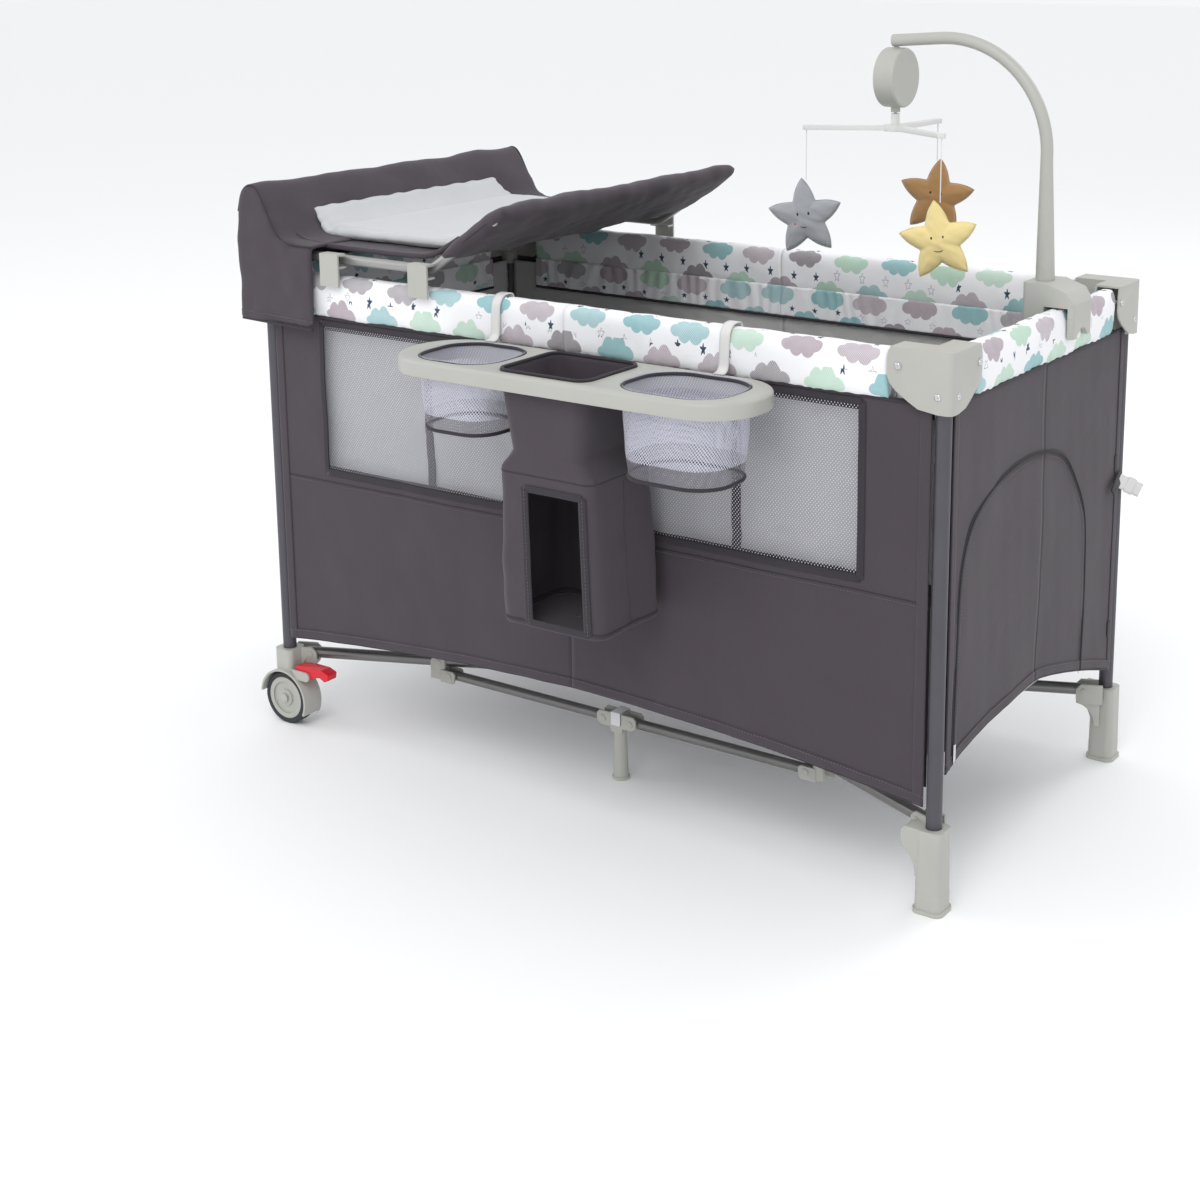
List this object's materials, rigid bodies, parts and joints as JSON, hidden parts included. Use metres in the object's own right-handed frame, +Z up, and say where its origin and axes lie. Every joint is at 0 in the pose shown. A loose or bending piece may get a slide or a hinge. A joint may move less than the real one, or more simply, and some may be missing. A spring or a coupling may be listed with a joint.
{
  "type": "travel play yard",
  "caption": "Folding rectangular play yard with mesh walls, padded rails, casters, a slung changing table, a hanging organizer and a clamp-on mobile.",
  "frame": {"origin": "on the floor under the centre of the whole part's outline", "axes": "+X from the caster end to the foot end, +Y from the organizer side to the plain side, +Z up"},
  "size_m": [1.281, 0.8282, 1.161],
  "materials": {
    "slate_tube": "satin",
    "grey_tube": "satin",
    "light_tube": "satin",
    "grey_plastic": "satin",
    "caster": "matte",
    "red_plastic": "gloss",
    "charcoal_fabric": "matte",
    "printed_fabric": "matte",
    "quilted_fabric": "matte",
    "mesh_fabric": "matte",
    "white_plastic": "gloss",
    "plush": "matte",
    "string": "matte"
  },
  "bodies": {
    "corner_front_left": {"post_tube_front_left": "slate_tube", "corner_bracket_front_left": "grey_plastic", "fabric_wall_front_left": "charcoal_fabric", "caster_housing_front_left": "grey_plastic"},
    "brace_front_left": {"base_brace_front_left": "grey_tube", "mattress_front_left": "quilted_fabric"},
    "clip_front_left": {"brace_clip_front_left": "grey_plastic"},
    "cross_bar_front_left": {"cross_bar_front_left": "grey_tube"},
    "long_rail_front_left": {"long_rail_front_left": "printed_fabric"},
    "short_rail_left_front": {"short_rail_left_front": "printed_fabric"},
    "caster_wheel_front_left": {"caster_wheel_front_left": "caster"},
    "brake_lever_front_left": {"brake_lever_front_left": "red_plastic"},
    "corner_front_right": {"post_tube_front_right": "slate_tube", "corner_bracket_front_right": "grey_plastic", "fabric_wall_front_right": "charcoal_fabric", "foot_front_right": "grey_plastic"},
    "brace_front_right": {"base_brace_front_right": "grey_tube", "mattress_front_right": "quilted_fabric"},
    "clip_front_right": {"brace_clip_front_right": "grey_plastic"},
    "cross_bar_front_right": {"cross_bar_front_right": "grey_tube"},
    "long_rail_front_right": {"long_rail_front_right": "printed_fabric"},
    "short_rail_right_front": {"short_rail_right_front": "printed_fabric"},
    "corner_rear_left": {"post_tube_rear_left": "slate_tube", "corner_bracket_rear_left": "grey_plastic", "fabric_wall_rear_left": "charcoal_fabric", "caster_housing_rear_left": "grey_plastic"},
    "brace_rear_left": {"base_brace_rear_left": "grey_tube", "mattress_rear_left": "quilted_fabric"},
    "clip_rear_left": {"brace_clip_rear_left": "grey_plastic"},
    "cross_bar_rear_left": {"cross_bar_rear_left": "grey_tube"},
    "long_rail_rear_left": {"long_rail_rear_left": "printed_fabric"},
    "short_rail_left_rear": {"short_rail_left_rear": "printed_fabric"},
    "caster_wheel_rear_left": {"caster_wheel_rear_left": "caster"},
    "brake_lever_rear_left": {"brake_lever_rear_left": "red_plastic"},
    "corner_rear_right": {"post_tube_rear_right": "slate_tube", "corner_bracket_rear_right": "grey_plastic", "fabric_wall_rear_right": "charcoal_fabric", "foot_rear_right": "grey_plastic"},
    "brace_rear_right": {"base_brace_rear_right": "grey_tube", "mattress_rear_right": "quilted_fabric"},
    "clip_rear_right": {"brace_clip_rear_right": "grey_plastic"},
    "cross_bar_rear_right": {"cross_bar_rear_right": "grey_tube"},
    "long_rail_rear_right": {"long_rail_rear_right": "printed_fabric"},
    "short_rail_right_rear": {"short_rail_right_rear": "printed_fabric"},
    "hub": {"base_hub": "grey_plastic"},
    "middle_leg_front": {"middle_leg_front": "grey_plastic"},
    "middle_leg_rear": {"middle_leg_rear": "grey_plastic"},
    "changer": {"changer_frame": "light_tube", "changer_cover": "charcoal_fabric", "changer_pad": "quilted_fabric"},
    "organizer": {"organizer_tray": "grey_plastic", "organizer_baskets": "mesh_fabric", "diaper_stacker": "charcoal_fabric", "organizer_straps": "charcoal_fabric"},
    "mobile": {"mobile_clamp": "grey_plastic", "mobile_mast": "grey_plastic", "music_box": "white_plastic"},
    "mobile_spinner": {"mobile_spider": "grey_plastic", "plush_stars": "plush", "mobile_strings": "string"}
  },
  "joints": [
    {"name": "frame_fold", "type": "hinge", "parent": "corner_front_left", "child": "brace_front_left", "pos_m": [-0.5655, -0.1991, 0.118], "axis": [0.3922, -0.9199, 0], "range_deg": [0, 85], "deforming": ["fabric_wall_front_left", "fabric_wall_front_right", "fabric_wall_rear_left", "fabric_wall_rear_right", "mattress_front_left", "mattress_front_right", "mattress_rear_left", "mattress_rear_right"]},
    {"name": "hub_turn", "type": "hinge", "parent": "brace_front_left", "child": "hub", "pos_m": [-0.0425, 0.0239, 0.118], "axis": [0.3922, -0.9199, 0], "range_deg": [-85, 0]},
    {"name": "brace_front_right_lift", "type": "hinge", "parent": "hub", "child": "brace_front_right", "pos_m": [0.0635, 0.0239, 0.118], "axis": [0.3922, 0.9199, 0], "range_deg": [0, 85]},
    {"name": "corner_front_right_upright", "type": "hinge", "parent": "brace_front_right", "child": "corner_front_right", "pos_m": [0.5865, -0.1991, 0.118], "axis": [0.3922, 0.9199, 0], "range_deg": [-85, 0]},
    {"name": "brace_rear_left_lift", "type": "hinge", "parent": "hub", "child": "brace_rear_left", "pos_m": [-0.0425, 0.1339, 0.118], "axis": [-0.3922, -0.9199, 0], "range_deg": [0, 85]},
    {"name": "corner_rear_left_upright", "type": "hinge", "parent": "brace_rear_left", "child": "corner_rear_left", "pos_m": [-0.5655, 0.3569, 0.118], "axis": [-0.3922, -0.9199, 0], "range_deg": [-85, 0]},
    {"name": "brace_rear_right_lift", "type": "hinge", "parent": "hub", "child": "brace_rear_right", "pos_m": [0.0635, 0.1339, 0.118], "axis": [-0.3922, 0.9199, 0], "range_deg": [0, 85]},
    {"name": "corner_rear_right_upright", "type": "hinge", "parent": "brace_rear_right", "child": "corner_rear_right", "pos_m": [0.5865, 0.3569, 0.118], "axis": [-0.3922, 0.9199, 0], "range_deg": [-85, 0]},
    {"name": "long_rail_front_left_fold", "type": "hinge", "parent": "corner_front_left", "child": "long_rail_front_left", "pos_m": [-0.5345, -0.2241, 0.757], "axis": [0, 1, 0], "range_deg": [0, 85]},
    {"name": "short_rail_left_front_fold", "type": "hinge", "parent": "corner_front_left", "child": "short_rail_left_front", "pos_m": [-0.5925, -0.1661, 0.757], "axis": [-1, 0, 0], "range_deg": [0, 85]},
    {"name": "clip_front_left_turn", "type": "hinge", "parent": "brace_front_left", "child": "clip_front_left", "pos_m": [-0.35853, -0.11085, 0.118], "axis": [0.3922, -0.9199, 0], "range_deg": [-85, 0]},
    {"name": "long_rail_front_right_fold", "type": "hinge", "parent": "corner_front_right", "child": "long_rail_front_right", "pos_m": [0.5555, -0.2241, 0.757], "axis": [0, -1, 0], "range_deg": [0, 85]},
    {"name": "short_rail_right_front_fold", "type": "hinge", "parent": "corner_front_right", "child": "short_rail_right_front", "pos_m": [0.6135, -0.1661, 0.757], "axis": [-1, 0, 0], "range_deg": [0, 85]},
    {"name": "clip_front_right_turn", "type": "hinge", "parent": "brace_front_right", "child": "clip_front_right", "pos_m": [0.37953, -0.11085, 0.118], "axis": [0.3922, 0.9199, 0], "range_deg": [-85, 0]},
    {"name": "long_rail_rear_left_fold", "type": "hinge", "parent": "corner_rear_left", "child": "long_rail_rear_left", "pos_m": [-0.5345, 0.3819, 0.757], "axis": [0, 1, 0], "range_deg": [0, 85]},
    {"name": "short_rail_left_rear_fold", "type": "hinge", "parent": "corner_rear_left", "child": "short_rail_left_rear", "pos_m": [-0.5925, 0.3239, 0.757], "axis": [1, 0, 0], "range_deg": [0, 85]},
    {"name": "clip_rear_left_turn", "type": "hinge", "parent": "brace_rear_left", "child": "clip_rear_left", "pos_m": [-0.35853, 0.26865, 0.118], "axis": [-0.3922, -0.9199, 0], "range_deg": [-85, 0]},
    {"name": "long_rail_rear_right_fold", "type": "hinge", "parent": "corner_rear_right", "child": "long_rail_rear_right", "pos_m": [0.5555, 0.3819, 0.757], "axis": [0, -1, 0], "range_deg": [0, 85]},
    {"name": "short_rail_right_rear_fold", "type": "hinge", "parent": "corner_rear_right", "child": "short_rail_right_rear", "pos_m": [0.6135, 0.3239, 0.757], "axis": [1, 0, 0], "range_deg": [0, 85]},
    {"name": "clip_rear_right_turn", "type": "hinge", "parent": "brace_rear_right", "child": "clip_rear_right", "pos_m": [0.37953, 0.26865, 0.118], "axis": [-0.3922, 0.9199, 0], "range_deg": [-85, 0]},
    {"name": "cross_bar_front_left_fold", "type": "hinge", "parent": "clip_front_left", "child": "cross_bar_front_left", "pos_m": [-0.33153, -0.11085, 0.098], "axis": [0, -1, 0], "range_deg": [0, 85]},
    {"name": "middle_leg_front_upright", "type": "hinge", "parent": "cross_bar_front_left", "child": "middle_leg_front", "pos_m": [-0.0155, -0.11085, 0.098], "axis": [0, -1, 0], "range_deg": [-85, 0]},
    {"name": "cross_bar_front_right_fold", "type": "hinge", "parent": "middle_leg_front", "child": "cross_bar_front_right", "pos_m": [0.0365, -0.11085, 0.098], "axis": [0, 1, 0], "range_deg": [0, 85]},
    {"name": "cross_bar_rear_left_fold", "type": "hinge", "parent": "clip_rear_left", "child": "cross_bar_rear_left", "pos_m": [-0.33153, 0.26865, 0.098], "axis": [0, -1, 0], "range_deg": [0, 85]},
    {"name": "middle_leg_rear_upright", "type": "hinge", "parent": "cross_bar_rear_left", "child": "middle_leg_rear", "pos_m": [-0.0155, 0.26865, 0.098], "axis": [0, -1, 0], "range_deg": [-85, 0]},
    {"name": "cross_bar_rear_right_fold", "type": "hinge", "parent": "middle_leg_rear", "child": "cross_bar_rear_right", "pos_m": [0.0365, 0.26865, 0.098], "axis": [0, 1, 0], "range_deg": [0, 85]},
    {"name": "caster_wheel_front_left_roll", "type": "hinge", "parent": "corner_front_left", "child": "caster_wheel_front_left", "pos_m": [-0.5895, -0.2311, 0.045], "axis": [0, 1, 0], "continuous": true},
    {"name": "brake_lever_front_left_press", "type": "hinge", "parent": "corner_front_left", "child": "brake_lever_front_left", "pos_m": [-0.5395, -0.2311, 0.092], "axis": [0, 1, 0], "range_deg": [0, 18]},
    {"name": "caster_wheel_rear_left_roll", "type": "hinge", "parent": "corner_rear_left", "child": "caster_wheel_rear_left", "pos_m": [-0.5895, 0.3889, 0.045], "axis": [0, 1, 0], "continuous": true},
    {"name": "brake_lever_rear_left_press", "type": "hinge", "parent": "corner_rear_left", "child": "brake_lever_rear_left", "pos_m": [-0.5395, 0.3889, 0.092], "axis": [0, 1, 0], "range_deg": [0, 18]},
    {"name": "changer_lift_off", "type": "slide", "parent": "corner_front_left", "child": "changer", "axis": [0, 0, 1], "range_m": [0, 0.12]},
    {"name": "organizer_clear", "type": "slide", "parent": "corner_front_left", "child": "organizer", "axis": [0, -1, 0], "range_m": [0, 0.24]},
    {"name": "mobile_clear", "type": "slide", "parent": "corner_rear_right", "child": "mobile", "axis": [0, 0, 1], "range_m": [0, 0.345]},
    {"name": "mobile_spin", "type": "hinge", "parent": "mobile", "child": "mobile_spinner", "pos_m": [0.3325, 0.1589, 1.018], "axis": [0, 0, 1], "continuous": true}
  ],
  "couplings": [
    {"joint": "hub_turn", "follows": "frame_fold", "ratio": -1},
    {"joint": "brace_front_right_lift", "follows": "frame_fold", "ratio": 1},
    {"joint": "corner_front_right_upright", "follows": "frame_fold", "ratio": -1},
    {"joint": "brace_rear_left_lift", "follows": "frame_fold", "ratio": 1},
    {"joint": "corner_rear_left_upright", "follows": "frame_fold", "ratio": -1},
    {"joint": "brace_rear_right_lift", "follows": "frame_fold", "ratio": 1},
    {"joint": "corner_rear_right_upright", "follows": "frame_fold", "ratio": -1},
    {"joint": "long_rail_front_left_fold", "follows": "frame_fold", "ratio": 1},
    {"joint": "short_rail_left_front_fold", "follows": "frame_fold", "ratio": 1},
    {"joint": "clip_front_left_turn", "follows": "frame_fold", "ratio": -1},
    {"joint": "long_rail_front_right_fold", "follows": "frame_fold", "ratio": 1},
    {"joint": "short_rail_right_front_fold", "follows": "frame_fold", "ratio": 1},
    {"joint": "clip_front_right_turn", "follows": "frame_fold", "ratio": -1},
    {"joint": "long_rail_rear_left_fold", "follows": "frame_fold", "ratio": 1},
    {"joint": "short_rail_left_rear_fold", "follows": "frame_fold", "ratio": 1},
    {"joint": "clip_rear_left_turn", "follows": "frame_fold", "ratio": -1},
    {"joint": "long_rail_rear_right_fold", "follows": "frame_fold", "ratio": 1},
    {"joint": "short_rail_right_rear_fold", "follows": "frame_fold", "ratio": 1},
    {"joint": "clip_rear_right_turn", "follows": "frame_fold", "ratio": -1},
    {"joint": "cross_bar_front_left_fold", "follows": "frame_fold", "ratio": 1},
    {"joint": "middle_leg_front_upright", "follows": "frame_fold", "ratio": -1},
    {"joint": "cross_bar_front_right_fold", "follows": "frame_fold", "ratio": 1},
    {"joint": "cross_bar_rear_left_fold", "follows": "frame_fold", "ratio": 1},
    {"joint": "middle_leg_rear_upright", "follows": "frame_fold", "ratio": -1},
    {"joint": "cross_bar_rear_right_fold", "follows": "frame_fold", "ratio": 1},
    {"joint": "organizer_clear", "follows": "frame_fold", "m_per_rad": 0.16},
    {"joint": "mobile_clear", "follows": "frame_fold", "m_per_rad": 0.2292}
  ]
}
